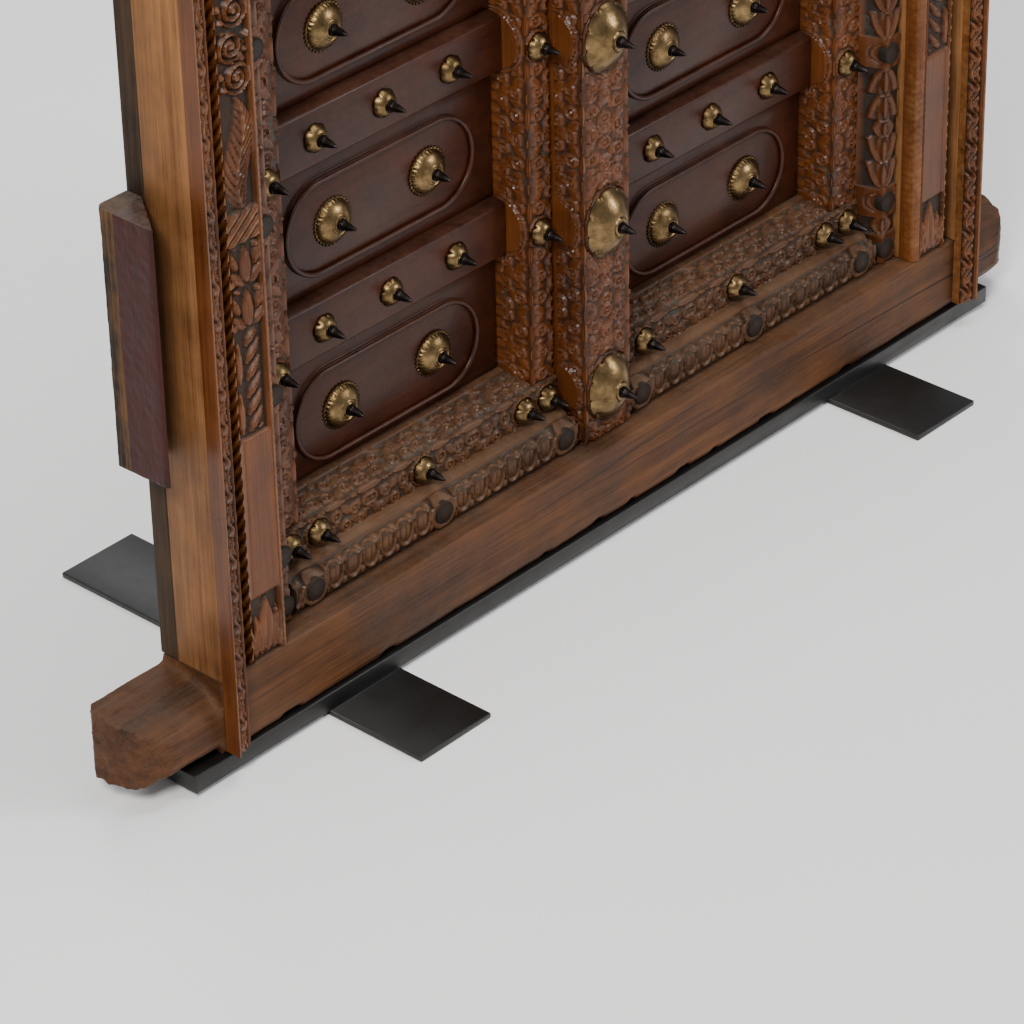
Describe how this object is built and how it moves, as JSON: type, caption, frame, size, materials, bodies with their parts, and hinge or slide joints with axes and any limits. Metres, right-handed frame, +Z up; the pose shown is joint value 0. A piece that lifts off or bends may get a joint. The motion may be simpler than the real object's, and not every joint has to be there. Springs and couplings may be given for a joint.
{
  "type": "carved temple door",
  "caption": "Carved wooden temple door: hinged leaves with raised panels, brass bosses and iron spikes, in a frame with horned sill and lintel, on a flat steel stand.",
  "frame": {"origin": "on the floor, in the middle of the doorway and of the stand's footprint", "axes": "+X along the door to the viewer's right, -Y towards the carved front, +Z up"},
  "size_m": [1.81, 0.667, 1.999],
  "materials": {
    "beam_wood": "worn and oiled, open grain",
    "jamb_wood": "dry, streaked, open grain",
    "carved_wood": "carved, worn, traces of paint in the hollows",
    "dark_wood": "stained dark, dusty on the upper edges",
    "weathered_wood": "grey, weathered",
    "anchor_wood": "dark red stain, grey at the top",
    "brass": "beaten, tarnished",
    "iron": "forged, dark, polished at the edges",
    "stand_steel": "black, satin, worn edges"
  },
  "bodies": {
    "frame": {"sill": "beam_wood", "lintel": "beam_wood", "left_jamb": "jamb_wood", "right_jamb": "jamb_wood", "left_back_strip": "weathered_wood", "right_back_strip": "weathered_wood", "left_pilaster": "carved_wood", "right_pilaster": "carved_wood", "left_outer_strip": "carved_wood", "right_outer_strip": "carved_wood", "left_anchor": "anchor_wood", "right_anchor": "anchor_wood", "stand": "stand_steel"},
    "left_leaf": {"left_meeting_post": "carved_wood", "left_hinge_post": "carved_wood", "left_upright_batten": "carved_wood", "left_bottom_rail": "carved_wood", "left_top_rail": "carved_wood", "left_foot_batten": "carved_wood", "left_head_batten": "carved_wood", "left_bosses": "brass", "left_studs": "brass", "left_spikes": "iron", "left_pegs": "weathered_wood", "left_panel_1": "dark_wood", "left_panel_2": "dark_wood", "left_panel_3": "dark_wood", "left_panel_4": "dark_wood", "left_panel_5": "dark_wood", "left_panel_6": "dark_wood", "left_rail_1": "dark_wood", "left_rail_2": "dark_wood", "left_rail_3": "dark_wood", "left_rail_4": "dark_wood", "left_rail_5": "dark_wood"},
    "right_leaf": {"right_meeting_stile": "carved_wood", "mullion": "carved_wood", "mullion_bosses": "brass", "right_hinge_post": "carved_wood", "right_upright_batten": "carved_wood", "right_bottom_rail": "carved_wood", "right_top_rail": "carved_wood", "right_foot_batten": "carved_wood", "right_head_batten": "carved_wood", "right_bosses": "brass", "right_studs": "brass", "right_spikes": "iron", "right_pegs": "weathered_wood", "right_panel_1": "dark_wood", "right_panel_2": "dark_wood", "right_panel_3": "dark_wood", "right_panel_4": "dark_wood", "right_panel_5": "dark_wood", "right_panel_6": "dark_wood", "right_rail_1": "dark_wood", "right_rail_2": "dark_wood", "right_rail_3": "dark_wood", "right_rail_4": "dark_wood", "right_rail_5": "dark_wood"}
  },
  "joints": [
    {"name": "left_leaf_hinge", "type": "hinge", "parent": "frame", "child": "left_leaf", "pos_m": [-0.602, -0.0615, 0.151], "axis": [0, 0, 1], "range_deg": [0, 90]},
    {"name": "right_leaf_hinge", "type": "hinge", "parent": "frame", "child": "right_leaf", "pos_m": [0.602, -0.0615, 0.151], "axis": [0, 0, -1], "range_deg": [0, 90]}
  ]
}
